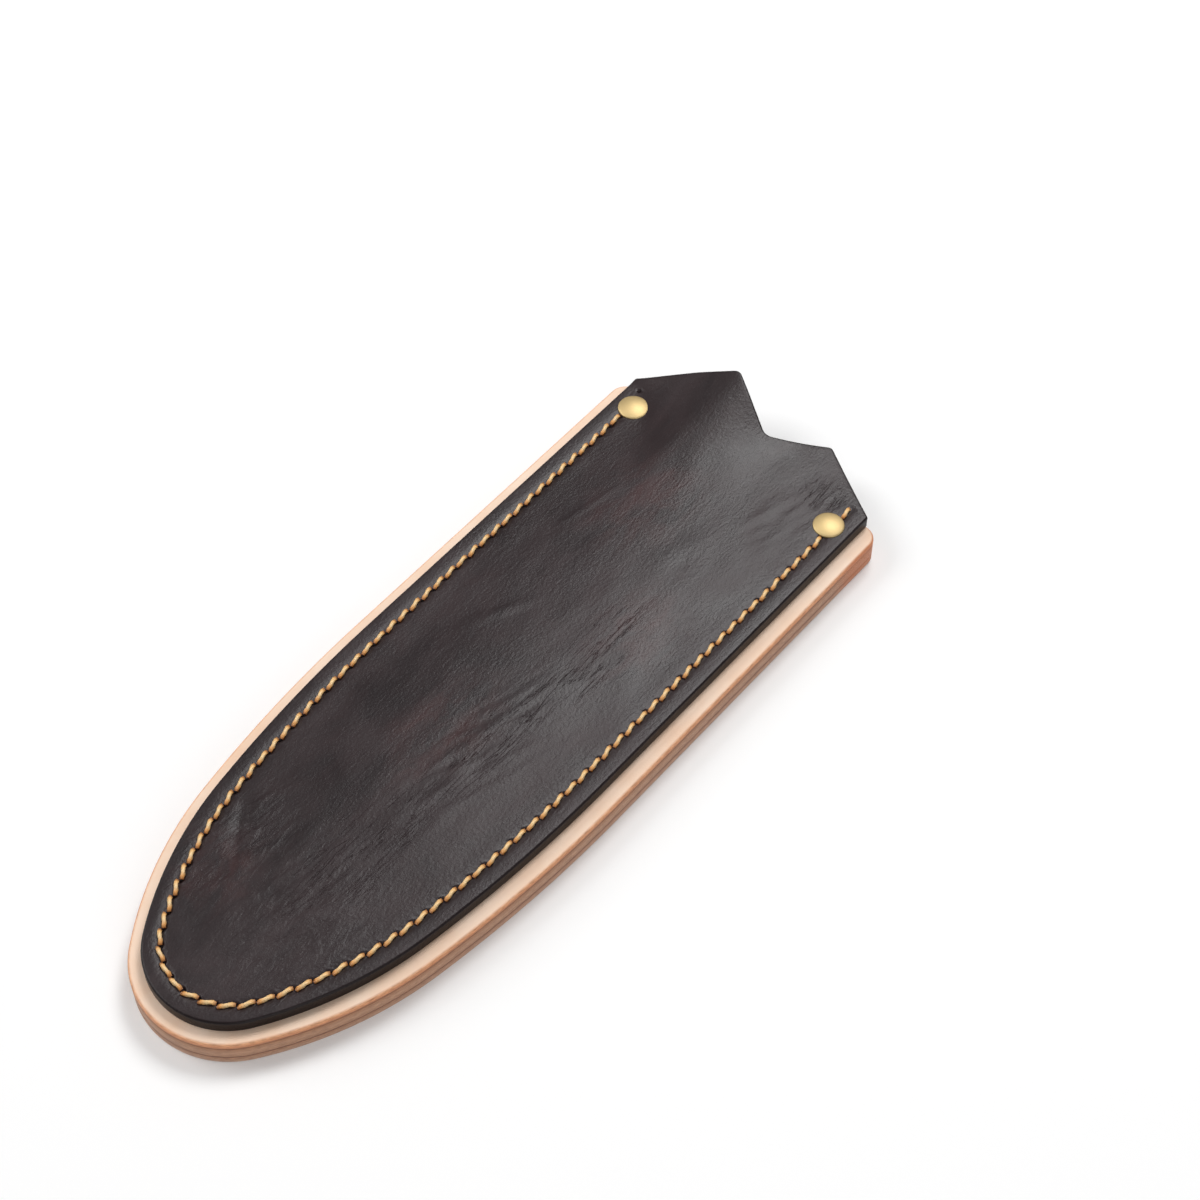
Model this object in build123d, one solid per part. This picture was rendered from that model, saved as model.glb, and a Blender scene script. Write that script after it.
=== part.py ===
from build123d import *
import math
import os

os.makedirs("parts", exist_ok=True)

# A knife blade guard of stitched and riveted leather, lying on its back.
# +Y runs from the closed tip to the open mouth, +X is the right-hand side, +Z is up.
# The origin is under the middle of the guard, on the surface that it lies on.
# Every length is in millimetres.

# Leather thicknesses, from the surface upwards, with the glue under the formed front panel
back_thickness = 2.4
welt_thickness = 3.3
border_thickness = 1.5
front_thickness = 3.3
glue_line = 0.05

# The stitch line, from which the plan of every layer is set out
nose_length = 92.0
belly_half_width = 29.35
mouth_flare = 0.5
mouth_y = 187.8
outline_power = 2.24
nose_turns = (90, 60, 25)

# Margins of each layer outside or inside the stitch line, at the sides and at the tip
natural_side_margin = 8.5
natural_tip_margin = 6.9
front_side_margin = 4.6
front_tip_margin = 3.9
pocket_side_margin = 4.5
pocket_tip_margin = 4.8
mouth_corner_radius = 4.0
burnish_bevel = 0.6
back_edge_bevel = 0.45
front_edge_bevel = 0.5

# The cut of the front panel at the mouth: two tabs with a valley between them
left_tab_x = 12.9
left_tab_reach = 12.8
left_tab_radius = 2.0
right_tab_x = 15.7
right_tab_reach = 11.6
right_tab_radius = 1.2
valley_x = 1.9
valley_reach = 3.6
valley_radius = 2.5
shoulder_radius = 0.8

# The form of the front panel: a low crown over the pocket, and the left tab, which has set upwards
crown_height = 1.2
tab_lift = 6.2
lift_length = 46.0
lift_outer_reach = 10.4
lift_mouth_spread = 16.5
lift_inner_reach = 24.0
form_columns = 21
form_rows = 45
form_overrun = 4.0

# Saddle stitching, on the front face and in a groove in the back
stitch_pitch = 4.0
stitch_gap = 0.3
thread_width = 0.95
thread_height = 0.55
stitch_slant = 12.0
thread_clearance = 0.05
thread_sink = 0.15
groove_clearance = 0.1
tail_from_mouth = 0.8

# Double-cap rivets: a cap with a socket in front, and a cap with a post behind
rivet_inset = 1.0
rivet_from_mouth = 7.8
cap_radius = 3.7
cap_rise = 0.75
back_cap_rise = 0.5
cap_wall = 0.2
dome_share = (0, 0.6, 1)
cap_press = 0.2
seat_clearance = 0.1
flange_thickness = 0.15
rivet_fit = 0.04
socket_radius = 1.7
socket_wall = 0.25
socket_length = 5.0

# Heights of the layers
welt_base = back_thickness
border_base = welt_base + welt_thickness
front_base = border_base + border_thickness
front_top = front_base + front_thickness

# Rivet sizes that follow from those above, and the seats that the leather has for them
mouth_half_width = belly_half_width + mouth_flare
rivet_x = mouth_half_width - rivet_inset
rivet_y = mouth_y - rivet_from_mouth
bore_radius = socket_radius + seat_clearance
seat_radius = cap_radius + seat_clearance
flange_radius = cap_radius - cap_wall - rivet_fit
flange_top = rivet_fit + flange_thickness
cap_rim = flange_top + rivet_fit + cap_wall
cap_height = cap_rim + cap_rise
back_cap_height = cap_rim + back_cap_rise
front_seat = front_top - cap_press
back_seat = back_cap_height + seat_clearance

# The groove in the back, as wide as a slanted stitch and deep enough to sink it
slant_reach = stitch_pitch * math.sin(math.radians(stitch_slant))
groove_width = thread_width + slant_reach + 2 * groove_clearance
groove_depth = thread_sink + thread_height + thread_clearance


def nose_curve(side_margin, tip_margin):
    """The rounded end of a layer: tangent arcs through points of a superellipse, left belly to right."""
    half_width = belly_half_width + side_margin
    depth = nose_length + tip_margin
    exponent = 2 / outline_power
    points = []
    for turn in [-turn for turn in nose_turns] + list(reversed(nose_turns)):
        across = half_width * abs(math.sin(math.radians(turn))) ** exponent
        along = nose_length - depth * abs(math.cos(math.radians(turn))) ** exponent
        points.append((math.copysign(across, turn), along))
    way = (mouth_flare, nose_length - mouth_y)
    arcs = []
    for start, end in zip(points, points[1:]):
        arcs.append(TangentArc(start, end, tangent=way))
        way = arcs[-1] % 1
    return arcs


def tongue(side_margin, tip_margin, end_y):
    """The plan of a layer that ends square across the guard."""
    belly = belly_half_width + side_margin
    end = mouth_half_width + side_margin
    sides = Polyline((belly, nose_length), (end, end_y), (-end, end_y), (-belly, nose_length))
    return make_face([*nose_curve(side_margin, tip_margin), sides])


def front_plan():
    """The plan of the front panel, with its two tabs and the valley at the mouth."""
    belly = belly_half_width + front_side_margin
    shoulder = mouth_half_width + front_side_margin
    corners = [
        (belly, nose_length),
        (shoulder, mouth_y),
        (right_tab_x, mouth_y + right_tab_reach),
        (valley_x, mouth_y + valley_reach),
        (-left_tab_x, mouth_y + left_tab_reach),
        (-shoulder, mouth_y),
        (-belly, nose_length),
    ]
    radii = [shoulder_radius, right_tab_radius, valley_radius, left_tab_radius, shoulder_radius]
    sides = FilletPolyline(*corners, radius=radii)
    return make_face([*nose_curve(front_side_margin, front_tip_margin), sides])


def crown(x, y):
    """Height of the front panel's crown, which is zero on the stitch line and outside it."""
    toward_mouth = max(y - nose_length, 0) / (mouth_y - nose_length)
    toward_tip = max(nose_length - y, 0) / nose_length
    half_width = belly_half_width + mouth_flare * toward_mouth
    measure = (abs(x) / half_width) ** outline_power + toward_tip ** outline_power
    return crown_height * max(1 - measure, 0) ** 2


def lift(x, y):
    """Height of the left tab, which has set upwards in use. Past the rivet it spreads to the side."""
    inward = x + left_tab_x
    past_rivet = max(1 + (y - mouth_y) / (2 * rivet_from_mouth), 0)
    outer_reach = lift_outer_reach + lift_mouth_spread * past_rivet ** 2
    reach = lift_inner_reach if inward > 0 else outer_reach
    across = min(abs(inward) / reach, 1)
    along = max(y - mouth_y - left_tab_reach + lift_length, 0) / lift_length
    return tab_lift * math.cos(across * math.pi / 2) ** 2 * along ** 2


def formed_sheet():
    """A sheet of front leather larger than its plan, with the crown and the lifted tab in it."""
    half_width = mouth_half_width + front_side_margin + form_overrun
    first_y = -front_tip_margin - form_overrun
    last_y = mouth_y + left_tab_reach + form_overrun
    rows = []
    for j in range(form_rows):
        y = first_y + (last_y - first_y) * j / (form_rows - 1)
        row = []
        for i in range(form_columns):
            x = half_width * (2 * i / (form_columns - 1) - 1)
            row.append((x, y, front_top + crown(x, y) + lift(x, y)))
        rows.append(row)
    top = Face.make_surface_from_array_of_points(rows)
    return extrude(top, amount=front_thickness - glue_line, dir=(0, 0, -1))


def at_rivets(radius, base, height):
    """Round cuts through or into the leather at both rivets."""
    cut = Cylinder(radius, height, align=(Align.CENTER, Align.CENTER, Align.MIN))
    return [Pos(side * rivet_x, rivet_y, base) * cut for side in (-1, 1)]


def make_front_panel():
    """Dark outer leather: the formed sheet, cut to its plan, with a bevelled rim and two rivet seats."""
    plan = extrude(front_plan(), amount=front_top + crown_height + tab_lift)
    panel = formed_sheet() & plan
    wide_faces = panel.faces().sort_by(SortBy.AREA)[-2:]
    rim = wide_faces.sort_by(Axis.Z)[-1].edges()
    panel = chamfer(rim, front_edge_bevel)
    panel -= at_rivets(bore_radius, 0, front_top + tab_lift)
    panel -= at_rivets(seat_radius, front_top - cap_press, cap_height)
    return panel


def natural_blank(base, thickness):
    """A natural leather layer before the pocket is cut: a tongue with rounded mouth corners."""
    plan = tongue(natural_side_margin, natural_tip_margin, mouth_y)
    mouth_corners = plan.vertices().sort_by(Axis.Y)[-2:]
    plan = fillet(mouth_corners, mouth_corner_radius)
    return Pos(0, 0, base) * extrude(plan, amount=thickness)


def open_for_pocket(layer):
    """Cuts the pocket and the rivet bores through a layer, which leaves a long U."""
    pocket_plan = tongue(-pocket_side_margin, -pocket_tip_margin, mouth_y + form_overrun)
    layer -= extrude(pocket_plan, amount=front_top)
    layer -= at_rivets(bore_radius, 0, front_top)
    return layer


def make_border_layer():
    """Thin natural layer that shows round the front panel, with a burnished outer edge."""
    layer = natural_blank(border_base, border_thickness)
    layer = chamfer(layer.edges().group_by(Axis.Z)[-1], burnish_bevel)
    return open_for_pocket(layer)


def make_welt():
    """Thick natural spacer that keeps the blade's edge off the stitches."""
    return open_for_pocket(natural_blank(welt_base, welt_thickness))


def make_back_panel():
    """Natural back, with a groove that the back stitches lie in and two seats for the back caps."""
    panel = natural_blank(0, back_thickness)
    panel = chamfer(panel.edges().group_by(Axis.Z)[0], back_edge_bevel)
    half_groove = groove_width / 2
    groove = tongue(half_groove, half_groove, rivet_y) - tongue(-half_groove, -half_groove, mouth_y)
    panel -= extrude(groove, amount=groove_depth)
    panel -= at_rivets(bore_radius, 0, front_top)
    panel -= at_rivets(seat_radius, 0, back_cap_height + seat_clearance)
    return panel


def stitch_places():
    """Middle, heading and length of each stitch between the rivets, then of the tail past the right one."""
    right = Line((belly_half_width, nose_length), (mouth_half_width, mouth_y))
    left = Line((-mouth_half_width, mouth_y), (-belly_half_width, nose_length))
    line = Wire([left, *nose_curve(0, 0), right])
    covered = rivet_from_mouth + seat_radius
    run = line.length - 2 * covered
    count = round(run / stitch_pitch)
    step = run / count
    distances = [covered + step * (i + 0.5) for i in range(count)]
    lengths = [step - stitch_gap] * count
    tail = rivet_from_mouth - tail_from_mouth - seat_radius
    distances.append(line.length - tail_from_mouth - tail / 2)
    lengths.append(tail)
    places = []
    for distance, length in zip(distances, lengths):
        spot = line.position_at(distance, position_mode=PositionMode.LENGTH)
        way = line.tangent_at(distance, position_mode=PositionMode.LENGTH)
        places.append((spot, math.degrees(math.atan2(way.Y, way.X)), length))
    return places


def stitch(length):
    """One slanted stitch on a face: it rises from its hole to a crest and goes down the next one."""
    side = Polyline((-length / 2, 0), (0, thread_height), (length / 2, 0), close=True)
    bar = extrude(make_face(Plane.XZ * side), amount=thread_width / 2, both=True)
    return Rot(0, 0, stitch_slant) * bar


def make_stitching(base, tilt, last_y):
    """The stitches that show on one face, up to the given place along the guard."""
    bars = []
    for spot, heading, length in stitch_places():
        if spot.Y < last_y:
            bars.append(Pos(spot.X, spot.Y, base) * Rot(0, 0, heading) * Rot(tilt, 0, 0) * stitch(length))
    return Compound(bars)


def turned(*corners):
    """A rivet piece turned about its own axis from the corners of half its section."""
    return revolve(make_face(Plane.XZ * Polyline(*corners, close=True)), axis=Axis.Z)


def make_cap(height):
    """A domed cap, open below, pressed over the flange that it hides."""
    inner = cap_radius - cap_wall
    rise = height - cap_rim
    dome_radius = (cap_radius ** 2 + rise ** 2) / (2 * rise)
    dome = []
    for share in dome_share:
        reach = cap_radius * share
        dome.append((reach, height - dome_radius + math.sqrt(dome_radius ** 2 - reach ** 2)))
    return turned(*dome, (cap_radius, 0), (inner, 0), (inner, cap_rim - cap_wall), (0, cap_rim - cap_wall))


def make_socket():
    """Flanged tube that hangs from the front cap and takes the post."""
    inside = socket_radius - socket_wall
    top = flange_top
    under = top - flange_thickness
    end = top - socket_length
    return turned(
        (inside, top), (flange_radius, top), (flange_radius, under), (socket_radius, under),
        (socket_radius, end), (inside, end),
    )


def make_post():
    """Post from the back cap's flange up through the leather, pressed into the socket to its top."""
    outside = socket_radius - socket_wall - rivet_fit
    flange_base = back_seat - flange_top
    flange_end = flange_base + flange_thickness
    end = front_seat + flange_top
    return turned(
        (0, flange_base), (flange_radius, flange_base), (flange_radius, flange_end),
        (outside, flange_end), (outside, end), (0, end),
    )


pieces = {
    "front_panel": make_front_panel(),
    "border_layer": make_border_layer(),
    "welt": make_welt(),
    "back_panel": make_back_panel(),
    "stitching_front": make_stitching(front_top + thread_clearance, 0, mouth_y),
    "stitching_back": make_stitching(groove_depth - thread_clearance, 180, rivet_y),
}
for side, name in ((-1, "left"), (1, "right")):
    axis = Pos(side * rivet_x, rivet_y, 0)
    pieces[f"rivet_cap_{name}"] = axis * Pos(0, 0, front_seat) * make_cap(cap_height)
    pieces[f"rivet_socket_{name}"] = axis * Pos(0, 0, front_seat) * make_socket()
    pieces[f"rivet_post_{name}"] = axis * make_post()
    back_cap = Rot(180, 0, 0) * make_cap(back_cap_height)
    pieces[f"rivet_back_cap_{name}"] = axis * Pos(0, 0, back_seat) * back_cap

# The guard is drawn from the tip of the stitch line and then centred on its own length
tip_y = tongue(natural_side_margin, natural_tip_margin, mouth_y).bounding_box().min.Y
middle_y = (tip_y + front_plan().bounding_box().max.Y) / 2
for name, piece in pieces.items():
    export_step(Pos(0, -middle_y, 0) * piece, f"parts/{name}.step")
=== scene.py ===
import math

import bpy
import numpy as np
from mathutils import Matrix, Vector, kdtree, noise
from mathutils.geometry import delaunay_2d_cdt


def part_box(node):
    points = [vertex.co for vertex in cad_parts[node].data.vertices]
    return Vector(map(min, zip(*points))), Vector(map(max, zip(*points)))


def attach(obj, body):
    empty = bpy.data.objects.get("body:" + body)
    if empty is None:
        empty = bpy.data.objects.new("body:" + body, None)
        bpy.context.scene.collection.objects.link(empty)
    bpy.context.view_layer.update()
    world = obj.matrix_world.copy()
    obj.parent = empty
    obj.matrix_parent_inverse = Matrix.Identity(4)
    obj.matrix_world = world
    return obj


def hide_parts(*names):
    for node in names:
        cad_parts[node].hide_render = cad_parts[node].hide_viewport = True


# A blade guard of stitched and riveted leather, lying on its back on a white sheet.
# Its lengths are in millimetres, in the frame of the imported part, and MM turns them to metres.
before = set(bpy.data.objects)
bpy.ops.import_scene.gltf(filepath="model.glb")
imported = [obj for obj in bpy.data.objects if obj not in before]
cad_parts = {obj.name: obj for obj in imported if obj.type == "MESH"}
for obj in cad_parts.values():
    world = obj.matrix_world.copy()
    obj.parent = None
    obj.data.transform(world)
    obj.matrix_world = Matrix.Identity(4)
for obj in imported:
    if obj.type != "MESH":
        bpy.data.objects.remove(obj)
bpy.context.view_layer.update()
MM = 0.001

# The seam, from which the plan of every layer is set out, and its place in the frame
SEAM_RUN = 187.8
NOSE_LENGTH = 92.0
BELLY_HALF_WIDTH = 29.35
MOUTH_FLARE = 0.5
OUTLINE_POWER = 2.24
NOSE_TURNS = (90, 60, 25)
MOUTH_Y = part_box("welt")[1].y / MM
SEAM_TIP_Y = MOUTH_Y - SEAM_RUN
BELLY_Y = SEAM_TIP_Y + NOSE_LENGTH
MOUTH_HALF_WIDTH = BELLY_HALF_WIDTH + MOUTH_FLARE

# Margins of the layers from the seam, at the sides and at the tip
NATURAL_MARGINS = (8.5, 6.9)
FRONT_MARGINS = (4.6, 3.9)
POCKET_MARGINS = (-4.5, -4.8)
MOUTH_CORNER = 4.0

# The cut of the front panel at the mouth, as reaches past the natural layers, with corner radii
TABS = ((15.7, 11.6, 1.2), (1.9, 3.6, 2.5), (-12.9, 12.8, 2.0))
SHOULDER_RADIUS = 0.8

# Heights of the layers
BACK_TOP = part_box("back_panel")[1].z / MM
WELT_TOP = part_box("welt")[1].z / MM
BORDER_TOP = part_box("border_layer")[1].z / MM
FRONT_THICKNESS = 3.25
GLUE_LINE = 0.05
FRONT_TOP = BORDER_TOP + GLUE_LINE + FRONT_THICKNESS

# Radii of the edges: lower and upper of the front panel, top and foot of the stack, and at its joints
FRONT_EDGES = (0.3, 0.55)
BORDER_EDGE = 0.7
BACK_EDGE = 0.6
JOINT_RADIUS = 0.12

# Spacing of the points on the seam, on the outlines and on the faces. Extra points keep a gap from the
# others, and a face's own points keep a share of their step from its rim.
SEAM_STEP = 0.25
FRONT_OUTLINE_STEP = 0.6
NATURAL_OUTLINE_STEP = 0.8
UNDERSIDE_STEP = 2.5
FULL_STEP = 0.8
NATURAL_STEPS = (2.0, 3.0)
POINT_GAP = 0.3
RIM_GAP = 0.55
MERGE_DISTANCE = 1e-7

# Extra points where the faces are marked: rows along the seam of the front panel and along the groove,
# and rings in the empty hole and round the seats, of which the innermost lies under the cap
MARK_STEP = 0.28
MARK_OFFSETS = np.arange(-1.4, 1.5, 0.25)
HOLE_RINGS = (0.0, 0.3, 0.55, 0.8)
GROOVE_STEP = 0.6
GROOVE_SHOULDER = 0.5
SEAT_SHOULDER = 0.4
SEAT_INNER_RING = 2.0

# How far the rounded edge has turned, in radians, where it looks like a cut edge
EDGE_TURN = 0.8

# The form of the front panel
CROWN_HEIGHT = 1.2
TAB_LIFT = 6.2
LIFT_LENGTH = 46.0
LIFT_REACHES = (10.4, 24.0)
LIFT_MOUTH_SPREAD = 16.5

# Swells of the front panel: height, sizes across and along the guard, and the slice of noise they show.
# Inside the seam they grow over a fade, and outside it only a share of them is left.
SWELLS = ((0.12, 15, 22, 3.1), (0.08, 5, 9, 7.7))
SWELL_FADE = 6
SWELL_OUTSIDE = 0.25

# Soft folds in the front panel: start, end, width and height, negative for a dent.
# A fold has only a share of its height at its ends.
FOLD_END = 0.4
FOLDS = (
    ((-23, -55), (-15, -66), 2.6, -0.40),
    ((-24, -61), (-19, -69), 2.6, 0.30),
    ((-15, -60), (-10, -70), 2.2, 0.16),
    ((-19, 44), (-15.5, 62), 0.9, 0.10),
    ((-17, 8), (-9, 24), 2.4, 0.12),
    ((6, -76), (12, -62), 2.2, 0.14),
    ((1, -78), (5, -66), 1.8, 0.12),
)

# Where the front panel is finely wrinkled, as middle and reach of each place, and the wrinkles' height,
# sizes across and along the guard, lean, and slice of noise
RUMPLED = ((5, -70, 24, 30), (-15, -66, 14, 24), (9, -18, 14, 40), (20, 76, 12, 14))
RUMPLE_HEIGHT = 0.22
RUMPLE_SIZES = (1.7, 7.5)
RUMPLE_LEAN = 0.25
RUMPLE_SLICE = 4.4

# Stitches. The taper gives the thread's share of its width along a stitch. The lower the arch power, the
# squarer the arch. The pinch draws the section in between two strands. Uneven gives a stitch's stray turn
# about each axis, in radians.
PITCH = 4.0
SLANT = 12.0
STITCH_LENGTH = 3.55
STITCH_TAPER = ((0, 0.35), (0.28, 0.8), (0.58, 1.0), (0.85, 0.72), (1, 0.35))
ARCH_POWER = 0.6
STRAND_PINCH = 0.24
UNEVEN = (0.04, 0.05, 0.07)
THREAD_WIDTH = 1.1
THREAD_HEIGHT = 0.42
THREAD_SINK = 0.25
THREAD_SEAT = 0.05
THREAD_TWIST = 3.4
TAIL_FROM_MOUTH = 0.8
TAIL_HALF_LENGTH = 1.6
GROOVE_DEPTH = 0.75
GROOVE_HALF_WIDTH = 1.0
GROOVE_SLOPE = 0.25

# What the thread and the awl have marked on the front panel: a shallow pull along the seam, and slanted
# holes a little to one side of it, each with a low lip
MARKED_HALF_WIDTH = 3
PULL_DEPTH = 0.22
PULL_HALF_WIDTH = 1.9
HOLE_DEPTH = 0.9
HOLE_REACH = (0.85, 0.42)
HOLE_SLANT = SLANT + 12
HOLE_ASIDE = 0.35
LIP_HEIGHT = 0.07
LIP_REACH = (1.2, 0.4)
LIP_ASIDE = 0.75
EMPTY_HOLE = (-31.0, 88.7)
EMPTY_HOLE_RADIUS = 0.7

# Rivets. The rim's turn is given as points, by how far each lies inside the cap's radius and below its rim.
RIVET_X = MOUTH_HALF_WIDTH - 1.0
RIVET_FROM_MOUTH = 7.8
RIVET_Y = MOUTH_Y - RIVET_FROM_MOUTH
RIVET_COVER = 11.6
CAP_RADIUS = 3.7
CAP_RIM = 0.43
CAP_RISE = 0.75
CAP_SINK = 0.2
BACK_CAP_RISE = 0.5
RIM_RADIUS = 0.12
RIM_TURN = ((0.02, 0.04), (0, 0.14), (0, CAP_RIM))
DOME_RINGS = 11
BACK_SEAT = 1.03
SEAT_RADIUS = 3.8
SEAT_SLOPE = 0.12

# Where the leathers look different, as middle and reach of each place
WINE_PATCHES = ((-8, 62, 16, 22), (-15, -72, 13, 14), (-1, -16, 13, 22), (14, 30, 12, 20))
BENT_PATCHES = ((5, -48, 11, 32), (8, -10, 9, 32), (11, 22, 8, 24), (23, 90, 7, 6), (-17, -62, 8, 12))
WRINKLED_PATCHES = ((8, -72, 20, 26), (-17, -66, 12, 22), (24, 90, 8, 8))
RUBBED_PATCHES = ((38, 86, 6, 14),)

# Sizes in the materials. A crease and a joint line are given as shares, of the noise and of the stack.
CREASE_WIDTH = 0.011
JOINT_LINE = 0.03
FIBRE_LENGTH = 1.6
FIBRE_THICKNESS = 0.16
STREAK_LENGTH = 2 / 3
STREAK_WIDTH = 1 / 9
FIBRES_AROUND = 12.0
FIBRE_TURNS = 4.0

# Floor, light and camera. Places and sizes are in metres, the last number of a soft box is its power in
# watts, and the lens and its sensor are in millimetres.
FLOOR_SIZE = 6.0
PAPER_GLOW = 0.15
WORLD_LEVEL = 0.28
SOFT_BOXES = (
    ("broad_box", (-1.15, -0.45, 1.1), (0, 0, 0), 0.9, 11),
    ("key_box", (-0.12, 0.64, 1.02), (0.02, 0.02, 0), 0.5, 8),
    ("fill_box", (0.95, -0.55, 0.5), (0, 0, 0), 0.8, 3),
)
CAMERA_PLACE = (0.2211, -0.23439, 0.4534)
CAMERA_AIM = (0.00193, 0.03341, 0.0105)
LENS = 75
SENSOR_WIDTH = 36


def straight(start, end, step):
    """Points from start to end, without start itself."""
    count = max(1, round((end - start).length / step))
    return [start.lerp(end, i / count) for i in range(1, count + 1)]


def arc(start, end, way, step):
    """Points on the arc that leaves start along way, without start itself, and its direction at end."""
    chord = end - start
    normal = Vector((-way.y, way.x))
    radius = chord.length_squared / (2 * chord.dot(normal))
    turn = 2 * math.atan2(chord.dot(normal), chord.dot(way))
    centre = start + radius * normal
    count = max(3, round(abs(radius * turn) / step))
    points = [centre + Matrix.Rotation(turn * i / count, 2) @ (start - centre) for i in range(1, count + 1)]
    return points, Matrix.Rotation(turn, 2) @ way


def nose(margins, step):
    """The rounded end of a layer: tangent arcs through points of a superellipse, left belly to right."""
    half_width = BELLY_HALF_WIDTH + margins[0]
    depth = NOSE_LENGTH + margins[1]
    exponent = 2 / OUTLINE_POWER
    joints = []
    for turn in [-turn for turn in NOSE_TURNS] + list(reversed(NOSE_TURNS)):
        across = half_width * abs(math.sin(math.radians(turn))) ** exponent
        along = depth * abs(math.cos(math.radians(turn))) ** exponent
        joints.append(Vector((math.copysign(across, turn), BELLY_Y - along)))
    way = Vector((MOUTH_FLARE, BELLY_Y - MOUTH_Y)).normalized()
    line = [joints[0]]
    for start, end in zip(joints, joints[1:]):
        points, way = arc(start, end, way, step)
        line += points
    return line


def rounded(corners, radii, step):
    """A line through corners, without the first, each inner corner rounded to its radius."""
    line = [corners[0]]
    for before, corner, after, radius in zip(corners, corners[1:], corners[2:], radii):
        way_in = (corner - before).normalized()
        way_out = (after - corner).normalized()
        reach = radius * math.tan(way_in.angle(way_out) / 2)
        start = corner - reach * way_in
        line += straight(line[-1], start, step)
        line += arc(start, corner + reach * way_out, way_in, min(step, radius / 4))[0]
    return line[1:] + straight(line[-1], corners[-1], step)


def natural_outline(step):
    """The plan of a natural layer, anticlockwise from the left belly point."""
    belly = BELLY_HALF_WIDTH + NATURAL_MARGINS[0]
    end = MOUTH_HALF_WIDTH + NATURAL_MARGINS[0]
    corners = [Vector(p) for p in ((belly, BELLY_Y), (end, MOUTH_Y), (-end, MOUTH_Y), (-belly, BELLY_Y))]
    return nose(NATURAL_MARGINS, step) + rounded(corners, (MOUTH_CORNER, MOUTH_CORNER), step)[:-1]


def pocketed_outline(step):
    """The plan of a natural layer that the pocket is cut from: a long U."""
    belly = BELLY_HALF_WIDTH + NATURAL_MARGINS[0]
    end = MOUTH_HALF_WIDTH + NATURAL_MARGINS[0]
    lip = MOUTH_HALF_WIDTH + POCKET_MARGINS[0]
    pocket = nose(POCKET_MARGINS, step)
    right = [Vector((belly, BELLY_Y)), Vector((end, MOUTH_Y)), Vector((lip, MOUTH_Y))]
    left = [Vector((-lip, MOUTH_Y)), Vector((-end, MOUTH_Y)), Vector((-belly, BELLY_Y))]
    line = nose(NATURAL_MARGINS, step) + rounded(right, (MOUTH_CORNER,), step)
    line += straight(right[-1], pocket[-1], step) + pocket[::-1][1:] + straight(pocket[0], left[0], step)
    return line + rounded(left, (MOUTH_CORNER,), step)[:-1]


def front_outline(step):
    """The plan of the front panel, with its two tabs and the valley between them."""
    belly = BELLY_HALF_WIDTH + FRONT_MARGINS[0]
    shoulder = MOUTH_HALF_WIDTH + FRONT_MARGINS[0]
    corners = [(belly, BELLY_Y), (shoulder, MOUTH_Y)]
    corners += [(x, MOUTH_Y + reach) for x, reach, _ in TABS]
    corners += [(-shoulder, MOUTH_Y), (-belly, BELLY_Y)]
    radii = [SHOULDER_RADIUS] + [radius for _, _, radius in TABS] + [SHOULDER_RADIUS]
    return nose(FRONT_MARGINS, step) + rounded([Vector(corner) for corner in corners], radii, step)[:-1]


def seam_line(step):
    """The stitch line from the left side of the mouth, round the tip, to the right side."""
    line = [Vector((-MOUTH_HALF_WIDTH, MOUTH_Y))]
    line += straight(line[0], Vector((-BELLY_HALF_WIDTH, BELLY_Y)), step)
    line += nose((0, 0), step)[1:]
    return line + straight(line[-1], Vector((MOUTH_HALF_WIDTH, MOUTH_Y)), step)


SEAM = seam_line(SEAM_STEP)
SEAM_REACH = [0.0]
for before, after in zip(SEAM, SEAM[1:]):
    SEAM_REACH.append(SEAM_REACH[-1] + (after - before).length)
SEAM_TREE = kdtree.KDTree(len(SEAM))
for number, spot in enumerate(SEAM):
    SEAM_TREE.insert(spot.to_3d(), number)
SEAM_TREE.balance()

STITCHES = round((SEAM_REACH[-1] - 2 * RIVET_COVER) / PITCH)
STITCH_STEP = (SEAM_REACH[-1] - 2 * RIVET_COVER) / STITCHES
TAIL_HOLE = SEAM_REACH[-1] - TAIL_FROM_MOUTH
HOLES = [RIVET_COVER + STITCH_STEP * i for i in range(STITCHES + 1)]


def seam_at(reach):
    """Point and direction of the seam at a distance along it."""
    number = min(np.searchsorted(SEAM_REACH, reach), len(SEAM) - 1)
    before, after = SEAM[number - 1], SEAM[number]
    share = (reach - SEAM_REACH[number - 1]) / (SEAM_REACH[number] - SEAM_REACH[number - 1])
    return before.lerp(after, share), (after - before).normalized()


def from_seam(x, y):
    """Signed distance from the seam, negative on the inner side, and the reach of the nearest seam point."""
    spot, number, _ = SEAM_TREE.find((x, y, 0))
    low, high = max(number - 1, 0), min(number + 1, len(SEAM) - 1)
    way = SEAM[high] - SEAM[low]
    side = way.x * (y - spot.y) - way.y * (x - spot.x)
    offset = side / way.length
    along = (way.x * (x - spot.x) + way.y * (y - spot.y)) / way.length
    return -offset, SEAM_REACH[number] + along


def crown(x, y):
    """Height of the front panel's crown over the pocket, zero on the seam and outside it."""
    toward_mouth = max(y - BELLY_Y, 0) / (MOUTH_Y - BELLY_Y)
    toward_tip = max(BELLY_Y - y, 0) / NOSE_LENGTH
    half_width = BELLY_HALF_WIDTH + MOUTH_FLARE * toward_mouth
    measure = (abs(x) / half_width) ** OUTLINE_POWER + toward_tip ** OUTLINE_POWER
    return CROWN_HEIGHT * max(1 - measure, 0) ** 2


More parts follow.
